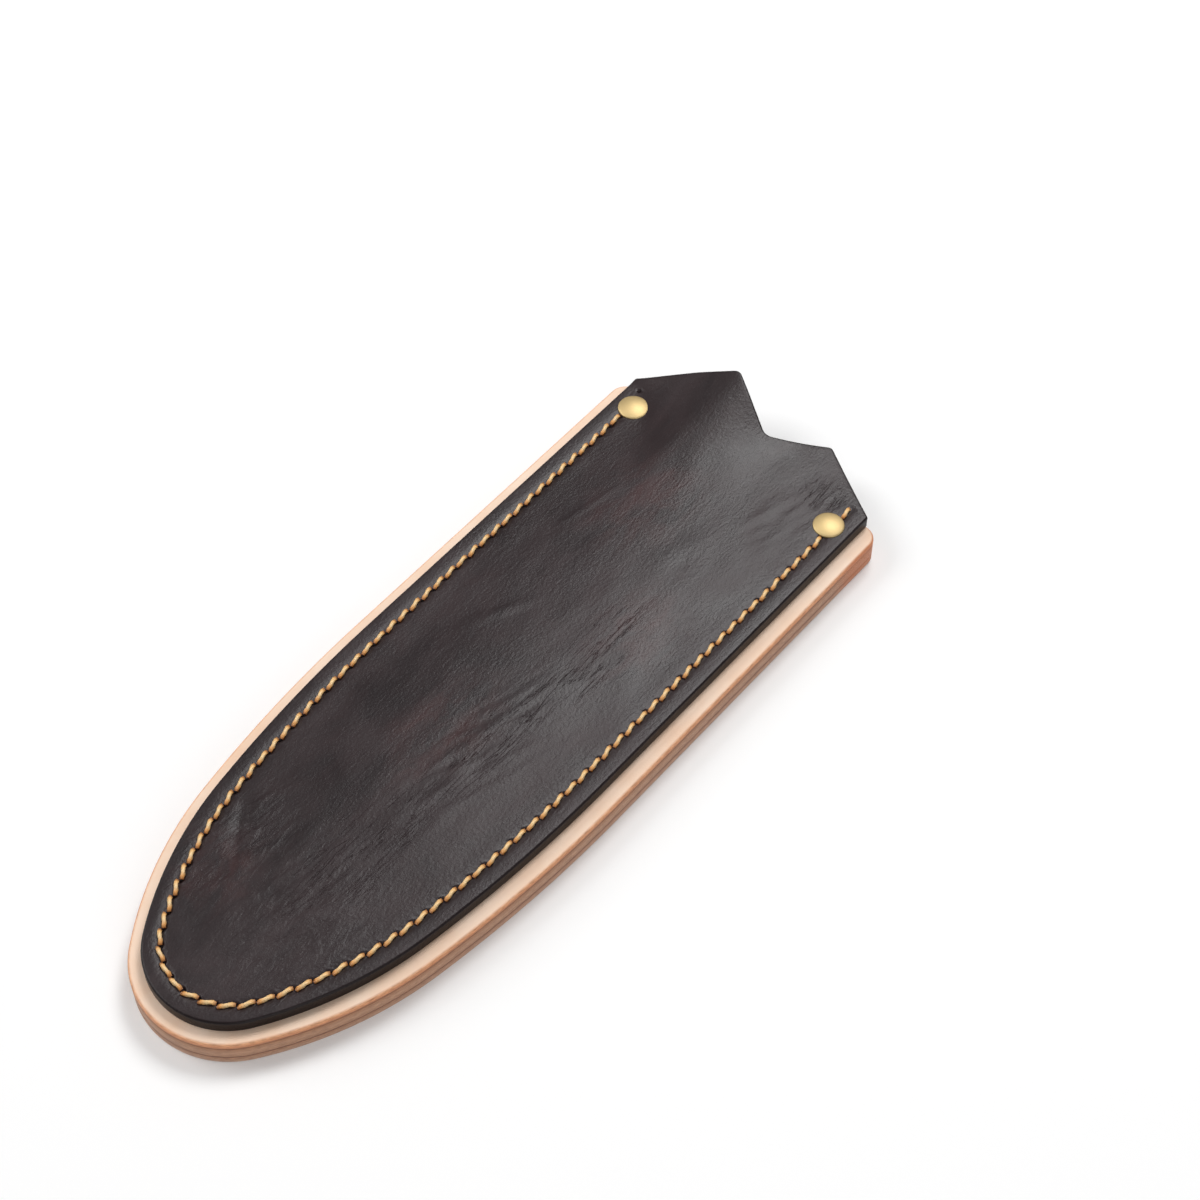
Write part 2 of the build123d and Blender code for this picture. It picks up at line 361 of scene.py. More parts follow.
def lift(x, y):
    """Height of the left tab, which has set upwards in use. Past the rivet it spreads to the side."""
    tab_x, tab_reach, _ = TABS[2]
    inward = x - tab_x
    past_rivet = max(1 + (y - MOUTH_Y) / (2 * RIVET_FROM_MOUTH), 0)
    outer_reach = LIFT_REACHES[0] + LIFT_MOUTH_SPREAD * past_rivet ** 2
    reach = LIFT_REACHES[1] if inward > 0 else outer_reach
    across = min(abs(inward) / reach, 1)
    along = max(y - MOUTH_Y - tab_reach + LIFT_LENGTH, 0) / LIFT_LENGTH
    return TAB_LIFT * math.cos(across * math.pi / 2) ** 2 * along ** 2


def hollow(distance, width):
    """1 at no distance, fading to 0 at the given width."""
    share = min(abs(distance) / width, 1)
    return (1 - share * share) ** 2


def fold(x, y):
    """Height that the soft folds add at a place."""
    height = 0
    for (x0, y0), (x1, y1), width, rise in FOLDS:
        along = Vector((x1 - x0, y1 - y0))
        spot = Vector((x - x0, y - y0))
        share = min(max(spot.dot(along) / along.length_squared, 0), 1)
        fullness = FOLD_END + (1 - FOLD_END) * math.sin(math.pi * share)
        height += rise * hollow((spot - share * along).length, width) * fullness
    return height


def rumple(x, y):
    """Height of the fine wrinkles round the nose and along the bend right of the middle."""
    share = 0
    for spot_x, spot_y, across, along in RUMPLED:
        share = max(share, hollow(math.hypot((x - spot_x) / across, (y - spot_y) / along), 1))
    across, along = RUMPLE_SIZES
    return RUMPLE_HEIGHT * share * noise.noise(((x - RUMPLE_LEAN * y) / across, y / along, RUMPLE_SLICE))


def front_form(x, y):
    """Height of the front panel's upper face, with its folds, the pull of the thread and the awl holes."""
    height = FRONT_TOP + crown(x, y) + lift(x, y)
    offset, reach = from_seam(x, y)
    relief = sum(rise * noise.noise((x / wide, y / long, level)) for rise, wide, long, level in SWELLS)
    within = min(max(-offset / SWELL_FADE, SWELL_OUTSIDE), 1)
    height += within * (relief + rumple(x, y) + fold(x, y))
    from_empty = math.hypot(x - EMPTY_HOLE[0], y - EMPTY_HOLE[1])
    height -= HOLE_DEPTH * hollow(from_empty, EMPTY_HOLE_RADIUS)
    if abs(offset) < MARKED_HALF_WIDTH and RIVET_COVER - 1 < reach < TAIL_HOLE + 1:
        height -= PULL_DEPTH * hollow(offset, PULL_HALF_WIDTH)
        nearest = min(max(round((reach - RIVET_COVER) / STITCH_STEP), 0), STITCHES)
        along, aside = reach - HOLES[nearest], offset + HOLE_ASIDE
        slant = math.radians(HOLE_SLANT)
        u = along * math.cos(slant) + aside * math.sin(slant)
        v = -along * math.sin(slant) + aside * math.cos(slant)
        height -= HOLE_DEPTH * hollow(math.hypot(u / HOLE_REACH[0], v / HOLE_REACH[1]), 1)
        height += LIP_HEIGHT * hollow(math.hypot(u / LIP_REACH[0], (v + LIP_ASIDE) / LIP_REACH[1]), 1)
    return height


def smooth(value, low, high):
    """0 below low and 1 above high, with a soft step between them."""
    share = min(max((value - low) / (high - low), 0), 1)
    return share * share * (3 - 2 * share)


def back_form(x, y):
    """Height of the back's lower face: flat, with a groove for the stitches and two seats for the caps."""
    from_rivet = math.hypot(abs(x) - RIVET_X, y - RIVET_Y)
    seat = BACK_SEAT * (1 - smooth(from_rivet, SEAT_RADIUS, SEAT_RADIUS + SEAT_SLOPE))
    if y > RIVET_Y:
        return seat
    offset, _ = from_seam(x, y)
    groove = GROOVE_DEPTH * (1 - smooth(abs(offset), GROOVE_HALF_WIDTH, GROOVE_HALF_WIDTH + GROOVE_SLOPE))
    return max(seat, groove)


def inside(points, loop):
    """Which points lie inside a closed loop."""
    x, y = points[:, 0], points[:, 1]
    odd = np.zeros(len(points), bool)
    for (x0, y0), (x1, y1) in zip(loop, np.roll(loop, -1, axis=0)):
        if y0 != y1:
            odd ^= ((y0 > y) != (y1 > y)) & (x < (x1 - x0) * (y - y0) / (y1 - y0) + x0)
    return odd


def fill_points(loop, step):
    """A triangular grid of points inside a loop, clear of its edge."""
    low, high = loop.min(0), loop.max(0)
    rows = []
    for number, y in enumerate(np.arange(low[1], high[1], step * math.sqrt(3) / 2)):
        x = np.arange(low[0] + (number % 2) * step / 2, high[0], step)
        rows.append(np.column_stack([x, np.full_like(x, y)]))
    grid = np.vstack(rows)
    return clear_of(grid[inside(grid, loop)], loop, step * RIM_GAP)


def clear_of(points, others, gap):
    """The points that are further than gap from all the others."""
    tree = kdtree.KDTree(len(others))
    for number, (x, y) in enumerate(others):
        tree.insert((x, y, 0), number)
    tree.balance()
    return np.array([p for p in points if tree.find((p[0], p[1], 0))[2] > gap])


def inset(loop, distance):
    """A loop moved inwards, square to its edge."""
    way = np.roll(loop, -1, axis=0) - np.roll(loop, 1, axis=0)
    way /= np.linalg.norm(way, axis=1, keepdims=True)
    return loop + distance * np.column_stack([-way[:, 1], way[:, 0]])


def filled(loop, points):
    """Triangles between a loop and the points inside it, as point numbers: the loop's come first."""
    spots = [Vector(p) for p in np.vstack([loop, points])]
    edges = [(i, (i + 1) % len(loop)) for i in range(len(loop))]
    inside_only = 1
    result = delaunay_2d_cdt(spots, edges, [], inside_only, MERGE_DISTANCE)
    source = [origin[0] if origin else -1 for origin in result[3]]
    return [[source[i] for i in face] for face in result[2]]


def leather_slab(outline, low_form, high_form, radii, steps, extras=((), ()), edge_steps=4):
    """A sheet cut to an outline, between two forms, with rounded lower and upper edges.

    Radii, steps and extra points are pairs, for the lower and the upper face. Returns points, faces and,
    for each point, how far it is on the cut edge, from 0 on a face to 1.
    """
    loop = np.array(outline, float)
    turns = [math.pi / 2 * i / edge_steps for i in range(edge_steps + 1)]
    rings = [(radii[0], turn, low_form, 1) for turn in turns]
    rings += [(radii[1], turn, high_form, -1) for turn in reversed(turns)]
    points, cut = [], []
    for radius, turn, form, sign in rings:
        for x, y in inset(loop, radius * (1 - math.sin(turn))):
            points.append((x, y, form(x, y) + sign * radius * (1 - math.cos(turn))))
            cut.append(min(1, turn / EDGE_TURN))
    count = len(loop)
    faces = []
    for low in range(0, (len(rings) - 1) * count, count):
        high = low + count
        for i in range(count):
            j = (i + 1) % count
            faces.append((low + i, low + j, high + j, high + i))
    for side, form in enumerate((low_form, high_form)):
        rim = inset(loop, radii[side])
        base = side * (len(rings) - 1) * count
        inner = fill_points(rim, steps[side])
        if len(extras[side]):
            more = clear_of(extras[side][inside(extras[side], rim)], rim, POINT_GAP)
            inner = np.vstack([clear_of(inner, more, POINT_GAP), more])
        first = len(points)
        for x, y in inner:
            points.append((x, y, form(x, y)))
            cut.append(0)
        for face in filled(rim, inner):
            corners = [base + i if i < count else first + i - count for i in face]
            faces.append(corners if side else corners[::-1])
    return points, faces, cut


def link_piece(name, mesh, node):
    """Lets a mesh ride on the guard as a piece, in place of a CAD node."""
    piece = bpy.data.objects.new(name, mesh)
    bpy.context.scene.collection.objects.link(piece)
    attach(piece, "root")
    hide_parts(node)


def add_piece(name, points, faces, material, node, cut=None):
    """Makes a piece from points in millimetres. Its cut values say how far each is on the cut edge."""
    mesh = bpy.data.meshes.new(name)
    mesh.from_pydata([tuple(c * MM for c in p) for p in points], [], faces)
    mesh.validate()
    mesh.shade_smooth()
    mesh.materials.append(material)
    if cut:
        mesh.attributes.new("cut_edge", "FLOAT", "POINT").data.foreach_set("value", cut)
    link_piece(name, mesh, node)


# Materials

def colour(code):
    """An sRGB hex colour as linear RGBA."""
    channels = [int(code[i:i + 2], 16) / 255 for i in (1, 3, 5)]
    return [c / 12.92 if c <= 0.04045 else ((c + 0.055) / 1.055) ** 2.4 for c in channels] + [1]


def add(tree, kind, inputs=(), stops=(), **settings):
    """Adds a node with its settings, links and colour stops.

    Inputs come as a list or by name. Each is a value, a socket, or a node that is linked from its first
    live output.
    """
    made = tree.nodes.new(kind)
    for name, value in settings.items():
        setattr(made, name, value)
    for key, value in inputs.items() if isinstance(inputs, dict) else enumerate(inputs):
        if isinstance(value, bpy.types.Node):
            value = next(socket for socket in value.outputs if socket.enabled)
        if isinstance(value, bpy.types.NodeSocket):
            tree.links.new(value, made.inputs[key])
        else:
            made.inputs[key].default_value = value
    if stops:
        elements = made.color_ramp.elements
        while len(elements) < len(stops):
            elements.new(0.5)
        for element, (place, code) in zip(elements, stops):
            element.position = place
            element.color = colour(code)
    return made


def new_material(name):
    """An empty material and its node tree."""
    material = bpy.data.materials.new(name)
    material.use_nodes = True
    material.node_tree.nodes.clear()
    return material, material.node_tree


def finish_material(tree, looks):
    """Ends a material with its shader, whose own sockets hold what doesn't vary."""
    shader = add(tree, "ShaderNodeBsdfPrincipled", looks)
    add(tree, "ShaderNodeOutputMaterial", [shader])


def patches(tree, place, spots):
    """A mask that is 1 at the middle of each spot (x, y, reach across, reach along, in mm) and fades out."""
    total = 0.0
    for x, y, across, along in spots:
        scale = (1 / (across * MM), 1 / (along * MM), 0.0)
        shift = (-x / across, -y / along, 0.0)
        spot = add(tree, "ShaderNodeMapping", {"Vector": place, "Location": shift, "Scale": scale})
        reach = add(tree, "ShaderNodeVectorMath", [spot], operation="LENGTH")
        limits = {"Value": reach, "From Min": 1.0, "From Max": 0.3}
        mask = add(tree, "ShaderNodeMapRange", limits, interpolation_type="SMOOTHSTEP")
        total = add(tree, "ShaderNodeMath", [total, mask], operation="MAXIMUM")
    return total


def stretched_noise(tree, place, across, along, detail=3.0, warp=0.0):
    """Noise with features of the given sizes in millimetres across and along the guard."""
    scale = (1 / (across * MM), 1 / (along * MM), 1 / (along * MM))
    spot = add(tree, "ShaderNodeMapping", {"Vector": place, "Scale": scale})
    looks = {"Vector": spot, "Scale": 1.0, "Detail": detail, "Roughness": 0.55, "Distortion": warp}
    return add(tree, "ShaderNodeTexNoise", looks)


def crease_lines(tree, place, across, along):
    """Fine lines that wander along the guard, 1 in mid-line, where a stretched noise crosses its middle."""
    level = stretched_noise(tree, place, across, along, 3.0, 0.4)
    level = add(tree, "ShaderNodeMath", [level, 0.5], operation="SUBTRACT")
    level = add(tree, "ShaderNodeMath", [level], operation="ABSOLUTE")
    limits = {"Value": level, "From Min": CREASE_WIDTH, "From Max": 0.0}
    return add(tree, "ShaderNodeMapRange", limits, interpolation_type="SMOOTHSTEP")


def dark_leather():
    """Harness leather, drum-dyed and oiled: near black with a wine cast, fine creases and a waxy gloss."""
    material, tree = new_material("oiled_harness_leather")
    place = add(tree, "ShaderNodeTexCoord").outputs["Object"]
    edge = add(tree, "ShaderNodeAttribute", attribute_name="cut_edge").outputs["Fac"]

    # Colour: slate black with soft wine-red patches, nearly black on the cut edge
    cloud = stretched_noise(tree, place, 14, 24, 5.0, 0.6)
    slate = add(tree, "ShaderNodeValToRGB", [cloud], [(0.3, "#1b1214"), (0.5, "#24191b"), (0.72, "#2f2325")])
    streaks = stretched_noise(tree, place, 5, 11, 4.0, 0.8)
    streaks = add(tree, "ShaderNodeMapRange", {"Value": streaks, "From Min": 0.38, "From Max": 0.7})
    wine = patches(tree, place, WINE_PATCHES)
    wine = add(tree, "ShaderNodeMath", [wine, 0.65, 0.1], operation="MULTIPLY_ADD")
    wine = add(tree, "ShaderNodeMath", [wine, streaks], operation="MULTIPLY")
    top = add(tree, "ShaderNodeMix", {"Factor": wine, "A": slate, "B": colour("#3c1f1f")}, data_type="RGBA")
    base = add(tree, "ShaderNodeMix", {"Factor": edge, "A": top, "B": colour("#150b0c")}, data_type="RGBA")

    # Creases: long fine cracks that wander and meet, down the middle right where the leather was bent
    cracks = [crease_lines(tree, place, 1.7, 20.0), crease_lines(tree, place, 3.0, 38.0)]
    crack = add(tree, "ShaderNodeMath", cracks, operation="MAXIMUM")
    broken = stretched_noise(tree, place, 5, 18, 2.0)
    broken = add(tree, "ShaderNodeMapRange", {"Value": broken, "From Min": 0.36, "From Max": 0.62})
    for mask in (broken, patches(tree, place, BENT_PATCHES)):
        crack = add(tree, "ShaderNodeMath", [crack, mask], operation="MULTIPLY")

    # Relief: short soft wrinkles, strongest round the nose and the right rivet, a fine pebble, the creases
    share = patches(tree, place, WRINKLED_PATCHES)
    share = add(tree, "ShaderNodeMath", [share, 0.8, 0.24], operation="MULTIPLY_ADD")
    wrinkle = stretched_noise(tree, place, 1.3, 4.5, 6.0, 0.9)
    wrinkle = add(tree, "ShaderNodeMath", [wrinkle, share], operation="MULTIPLY")
    pebble = stretched_noise(tree, place, 0.55, 0.8, 3.0)
    height = add(tree, "ShaderNodeMath", [pebble, 0.26, wrinkle], operation="MULTIPLY_ADD")
    height = add(tree, "ShaderNodeMath", [crack, -0.4, height], operation="MULTIPLY_ADD")
    bump = add(tree, "ShaderNodeBump", {"Strength": 0.8, "Distance": 0.32 * MM, "Height": height})

    # Wax lies unevenly, so the gloss varies in clouds, and the cut edge is duller
    limits = {"Value": cloud, "From Min": 0.3, "From Max": 0.7, "To Min": 0.33, "To Max": 0.43}
    rough = add(tree, "ShaderNodeMapRange", limits)
    gloss = add(tree, "ShaderNodeMath", [edge, -0.16, 0.36], operation="MULTIPLY_ADD")
    finish_material(tree, {
        "Base Color": base, "Roughness": rough, "Specular IOR Level": gloss, "Normal": bump})
    return material


def natural_leather():
    """Vegetable-tanned cowhide, undyed: smooth cream grain side, fibrous cut edges rubbed to a tan sheen."""
    material, tree = new_material("vegetable_tanned_leather")
    place = add(tree, "ShaderNodeTexCoord").outputs["Object"]
    edge = add(tree, "ShaderNodeAttribute", attribute_name="cut_edge").outputs["Fac"]

    # The grain side: cream with faint clouds
    cloud = stretched_noise(tree, place, 9, 14, 4.0)
    top = add(tree, "ShaderNodeValToRGB", [cloud], [(0.3, "#f8d2b4"), (0.7, "#fde2cb")])

    # The cut edge, from the bottom of the stack to its burnished top, with a dark line at each joint
    height = add(tree, "ShaderNodeSeparateXYZ", [place]).outputs["Z"]
    height = add(tree, "ShaderNodeMath", [height, BORDER_TOP * MM], operation="DIVIDE")
    scale = [1 / (size * MM) for size in (FIBRE_LENGTH, FIBRE_LENGTH, FIBRE_THICKNESS)]
    fibre = add(tree, "ShaderNodeMapping", {"Vector": place, "Scale": scale})
    fibre = add(tree, "ShaderNodeTexNoise", {"Vector": fibre, "Scale": 1.0, "Detail": 4.0, "Roughness": 0.65})
    ragged = add(tree, "ShaderNodeMath", [fibre, 0.5], operation="SUBTRACT")
    ragged = add(tree, "ShaderNodeMath", [ragged, 0.03, height], operation="MULTIPLY_ADD")
    low, high = BACK_TOP / BORDER_TOP, WELT_TOP / BORDER_TOP
    stack = add(tree, "ShaderNodeValToRGB", [ragged], [
        (0.0, "#c9a48c"), (0.1, "#cfa78c"),
        (low - JOINT_LINE, "#b98768"), (low, "#5f3a26"), (low + JOINT_LINE, "#bb8b6c"), (0.55, "#c49879"),
        (high - JOINT_LINE, "#b27c55"), (high, "#7c4a2c"), (high + JOINT_LINE, "#bd7f54"),
        (0.88, "#e59a68"), (1.0, "#f4b88b")])
    dark_fibre = add(tree, "ShaderNodeValToRGB", [fibre], [(0.3, "#8d6550"), (0.62, "#ffffff")])
    side = {"Factor": 0.6, "A": stack, "B": dark_fibre}
    side = add(tree, "ShaderNodeMix", side, data_type="RGBA", blend_type="MULTIPLY")
    rubbed = patches(tree, place, RUBBED_PATCHES)
    rubbed = add(tree, "ShaderNodeMath", [rubbed, 0.7], operation="MULTIPLY")
    side = add(tree, "ShaderNodeMix", {"Factor": rubbed, "A": side, "B": colour("#c4703f")}, data_type="RGBA")
    base = add(tree, "ShaderNodeMix", {"Factor": edge, "A": top, "B": side}, data_type="RGBA")

    # Relief: faint pores on the grain side, fibres on the edge, which is the smoother of the two
    pore = stretched_noise(tree, place, 0.35, 0.35, 2.0)
    pore = add(tree, "ShaderNodeMath", [pore, 0.3], operation="MULTIPLY")
    relief = add(tree, "ShaderNodeMix", {"Factor": edge, "A": pore, "B": fibre}, data_type="FLOAT")
    bump = add(tree, "ShaderNodeBump", {"Strength": 0.7, "Distance": 0.2 * MM, "Height": relief})
    rough = add(tree, "ShaderNodeMath", [edge, -0.1, 0.55], operation="MULTIPLY_ADD")
    finish_material(tree, {"Base Color": base, "Roughness": rough, "Normal": bump})
    return material


def waxed_thread():
    """Waxed linen thread in a golden tan, soft gloss; painted highlight where it arches up, painted shade
    where it goes in.
    """
    material, tree = new_material("waxed_linen_thread")
    along = add(tree, "ShaderNodeAttribute", attribute_name="along").outputs["Fac"]
    around = add(tree, "ShaderNodeAttribute", attribute_name="around").outputs["Fac"]
    # Colour along each stitch: golden tan, with a painted highlight on its crest and painted shade at both
    # ends, where it dives into its holes
    base = add(tree, "ShaderNodeValToRGB", [along], [
        (0.0, "#8a5020"), (0.2, "#e0a05a"), (0.5, "#ffdca4"), (0.8, "#f4c07c"), (1.0, "#96592a")])

    # Relief: fine fibres that wind along the stitch
    wave = add(tree, "ShaderNodeMath", [around, FIBRES_AROUND], operation="MULTIPLY")
    wave = add(tree, "ShaderNodeMath", [along, FIBRE_TURNS, wave], operation="MULTIPLY_ADD")
    wave = add(tree, "ShaderNodeMath", [wave, math.tau], operation="MULTIPLY")
    wave = add(tree, "ShaderNodeMath", [wave], operation="SINE")
    bump = add(tree, "ShaderNodeBump", {"Strength": 0.35, "Distance": 0.06 * MM, "Height": wave})
    finish_material(tree, {"Base Color": base, "Roughness": 0.36, "Normal": bump})
    return material


def brass():
    """Solid brass, drawn and lightly brushed: pale gold with a soft, slightly streaked reflection."""
    material, tree = new_material("brushed_brass")
    place = add(tree, "ShaderNodeTexCoord").outputs["Object"]
    scale = [1 / (size * MM) for size in (STREAK_LENGTH, STREAK_WIDTH, STREAK_LENGTH)]
    brushing = add(tree, "ShaderNodeMapping", {"Vector": place, "Scale": scale})
    brushing = add(tree, "ShaderNodeTexNoise", {"Vector": brushing, "Scale": 1.0, "Detail": 3.0})
    rough = add(tree, "ShaderNodeMapRange", {"Value": brushing, "To Min": 0.5, "To Max": 0.62})
    bump = add(tree, "ShaderNodeBump", {"Strength": 0.12, "Distance": 0.02 * MM, "Height": brushing})
    finish_material(tree, {
        "Base Color": colour("#d2ba88"), "Metallic": 1.0, "Roughness": rough, "Normal": bump})
    return material


DARK = dark_leather()
NATURAL = natural_leather()
THREAD = waxed_thread()
BRASS = brass()


# Leather

def flat(height):
    """The form of a level face."""
    return lambda x, y: height


def panel_underside(x, y):
    """Height of the front panel's lower face, which has no folds."""
    return FRONT_TOP - FRONT_THICKNESS + crown(x, y) + lift(x, y)


def ring(centre, radius, count):
    """Points round a centre."""
    turns = [math.tau * i / count for i in range(count)]
    return [(centre[0] + radius * math.cos(turn), centre[1] + radius * math.sin(turn)) for turn in turns]


def rings_at_rivets(radii):
    """Points in rings round both rivets."""
    centres = [(side * RIVET_X, RIVET_Y) for side in (-1, 1)]
    return [spot for centre in centres for radius in radii for spot in ring(centre, radius, 64)]


def seam_rows(first, last, step, offsets):
    """Points in rows along the seam, at offsets that are negative on its inner side."""
    rows = []
    for reach in np.arange(first, last, step):
        spot, way = seam_at(min(reach, SEAM_REACH[-1]))
        rows += [(spot.x + way.y * offset, spot.y - way.x * offset) for offset in offsets]
    return rows


def make_front():
    """The front panel, with close rows of points where the thread and the awl have marked it."""
    marks = seam_rows(RIVET_COVER - 1, TAIL_HOLE + 0.9, MARK_STEP, MARK_OFFSETS)
    for radius in HOLE_RINGS:
        marks += ring(EMPTY_HOLE, radius, 12)
    marks = np.array(list(dict.fromkeys(marks)))
    step = FULL_STEP
    points, faces, cut = leather_slab(
        front_outline(FRONT_OUTLINE_STEP), panel_underside, front_form, FRONT_EDGES,
        (UNDERSIDE_STEP, step), ((), marks), 5)
    add_piece("front_leather", points, faces, DARK, "front_panel", cut)


def make_stack():
    """The natural layers. The back one has close points round its groove and its two seats."""
    past = (0, 0.12, GROOVE_SLOPE, GROOVE_SHOULDER)
    reaches = [GROOVE_HALF_WIDTH / 2] + [GROOVE_HALF_WIDTH + reach for reach in past]
    offsets = [side * reach for reach in reaches for side in (-1, 1)]
    groove = seam_rows(RIVET_FROM_MOUTH, SEAM_REACH[-1] - RIVET_FROM_MOUTH, GROOVE_STEP, offsets)
    groove = clear_of(np.array(groove), rings_at_rivets((0.0,)), SEAT_RADIUS + GROOVE_SHOULDER)
    past = (0, SEAT_SLOPE / 2, SEAT_SLOPE, SEAT_SHOULDER)
    seats = rings_at_rivets([SEAT_INNER_RING] + [SEAT_RADIUS + reach for reach in past])
    layers = (
        ("border_leather", "border_layer", pocketed_outline, flat(WELT_TOP), BORDER_TOP,
         (JOINT_RADIUS, BORDER_EDGE), ()),
        ("welt_leather", "welt", pocketed_outline, flat(BACK_TOP), WELT_TOP,
         (JOINT_RADIUS, JOINT_RADIUS), ()),
        ("back_leather", "back_panel", natural_outline, back_form, BACK_TOP,
         (BACK_EDGE, JOINT_RADIUS), np.vstack([groove, seats])),
    )
    for name, node, outline, low_form, high, radii, extra in layers:
        loop = outline(NATURAL_OUTLINE_STEP)
        points, faces, cut = leather_slab(loop, low_form, flat(high), radii, NATURAL_STEPS, (extra, ()))
        add_piece(name, points, faces, NATURAL, node, cut)


make_front()
make_stack()


# Stitching

def stitching_tree():
    """Geometry Nodes that lay one twisted stitch on each point of a curve, slanted to it."""
    tree = bpy.data.node_groups.new("saddle_stitching", "GeometryNodeTree")
    tree.interface.new_socket("Stitching", in_out="OUTPUT", socket_type="NodeSocketGeometry")
    sizes = ("Stitch Length", "Thread Width", "Rise", "Sink", "Slant", "Twist")
    wanted = [("Seam", "Geometry"), ("Seed", "Int"), ("Thread", "Material")]
    for name, kind in wanted + [(name, "Float") for name in sizes]:
        tree.interface.new_socket(name, in_out="INPUT", socket_type="NodeSocket" + kind)
    given = add(tree, "NodeGroupInput").outputs

    # One stitch along X: an arched line of a few points that is thickest past its middle
    half = add(tree, "ShaderNodeMath", [given["Stitch Length"], 0.5], operation="MULTIPLY")
    start = add(tree, "ShaderNodeMath", [half, -1.0], operation="MULTIPLY")
    start, end = add(tree, "ShaderNodeCombineXYZ", [start]), add(tree, "ShaderNodeCombineXYZ", [half])
    line = add(tree, "GeometryNodeCurvePrimitiveLine", {"Start": start, "End": end})
    line = add(tree, "GeometryNodeResampleCurve", {"Curve": line, "Count": 7})
    share = add(tree, "GeometryNodeSplineParameter").outputs["Factor"]
    bow = add(tree, "ShaderNodeMath", [share, math.pi], operation="MULTIPLY")
    bow = add(tree, "ShaderNodeMath", [bow], operation="SINE")
    bow = add(tree, "ShaderNodeMath", [bow, 0.0], operation="MAXIMUM")
    bow = add(tree, "ShaderNodeMath", [bow, ARCH_POWER], operation="POWER")
    rise = add(tree, "ShaderNodeMath", [bow, given["Rise"]], operation="MULTIPLY")
    rise = add(tree, "ShaderNodeMath", [rise, given["Sink"]], operation="SUBTRACT")
    rise = add(tree, "ShaderNodeCombineXYZ", {"Z": rise})
    line = add(tree, "GeometryNodeSetPosition", {"Geometry": line, "Offset": rise})
    thick = add(tree, "ShaderNodeFloatCurve", {"Value": share})
    bends = thick.mapping.curves[0].points
    for place, width in STITCH_TAPER[1:-1]:
        bends.new(place, width)
    bends[0].location, bends[-1].location = STITCH_TAPER[0], STITCH_TAPER[-1]
    thick.mapping.update()
    line = add(tree, "GeometryNodeSetCurveRadius", {"Curve": line, "Radius": thick})
    twist = add(tree, "ShaderNodeMath", [share, given["Twist"]], operation="MULTIPLY")
    line = add(tree, "GeometryNodeSetCurveTilt", {"Curve": line, "Tilt": twist})
    line = {"Geometry": line, "Name": "along", "Value": share}
    line = add(tree, "GeometryNodeStoreNamedAttribute", line, data_type="FLOAT")

    # Its section: three strands, with every second point drawn in between two of them
    radius = add(tree, "ShaderNodeMath", [given["Thread Width"], 0.5], operation="MULTIPLY")
    strands = add(tree, "GeometryNodeCurvePrimitiveCircle", {"Resolution": 6, "Radius": radius})
    drawn = add(tree, "ShaderNodeMath", [add(tree, "GeometryNodeInputIndex"), 2.0], operation="MODULO")
    drawn = add(tree, "ShaderNodeMath", [drawn, 0.0, 0.5], operation="COMPARE")
    drawn = add(tree, "ShaderNodeMath", [drawn, -STRAND_PINCH], operation="MULTIPLY")
    drawn = {0: add(tree, "GeometryNodeInputPosition"), "Scale": drawn}
    drawn = add(tree, "ShaderNodeVectorMath", drawn, operation="SCALE")
    strands = add(tree, "GeometryNodeSetPosition", {"Geometry": strands, "Offset": drawn})
    strands = {"Geometry": strands, "Name": "around", "Value": share}
    strands = add(tree, "GeometryNodeStoreNamedAttribute", strands, data_type="FLOAT")
    stitch = {"Curve": line, "Profile Curve": strands, "Fill Caps": True}
    stitch = add(tree, "GeometryNodeCurveToMesh", stitch)

    # One on each point of the seam, turned to it and a little uneven, as hand work is
    uneven = {"Min": [-turn for turn in UNEVEN], "Max": UNEVEN, "Seed": given["Seed"]}
    uneven = add(tree, "FunctionNodeRandomValue", uneven, data_type="FLOAT_VECTOR")
    slant = add(tree, "ShaderNodeCombineXYZ", {"Z": given["Slant"]})
    turn = add(tree, "ShaderNodeVectorMath", [uneven, slant], operation="ADD")
    turn = add(tree, "FunctionNodeEulerToRotation", [turn])
    way = {"Vector": add(tree, "GeometryNodeInputTangent")}
    way = add(tree, "FunctionNodeAlignRotationToVector", way, axis="X", pivot_axis="Z")
    turn = {"Rotation": way, "Rotate By": turn}
    turn = add(tree, "FunctionNodeRotateRotation", turn, rotation_space="LOCAL")
    whole = {"Points": given["Seam"], "Instance": stitch, "Rotation": turn}
    whole = add(tree, "GeometryNodeInstanceOnPoints", whole)
    whole = add(tree, "GeometryNodeRealizeInstances", [whole])
    whole = add(tree, "GeometryNodeSetMaterial", {"Geometry": whole, "Material": given["Thread"]})
    add(tree, "NodeGroupOutput", [whole])
    return tree


def seam_curve(name, rows, height):
    """Poly splines through the middles of the stitches, each row running towards the mouth."""
    curve = bpy.data.curves.new(name, "CURVE")
    curve.dimensions = "3D"
    for row in rows:
        spline = curve.splines.new("POLY")
        spline.points.add(len(row) - 1)
        for point, reach in zip(spline.points, row):
            spot, _ = seam_at(reach)
            point.co = (spot.x * MM, spot.y * MM, height * MM, 1)
    made = bpy.data.objects.new(name, curve)
    bpy.context.scene.collection.objects.link(made)
    return made


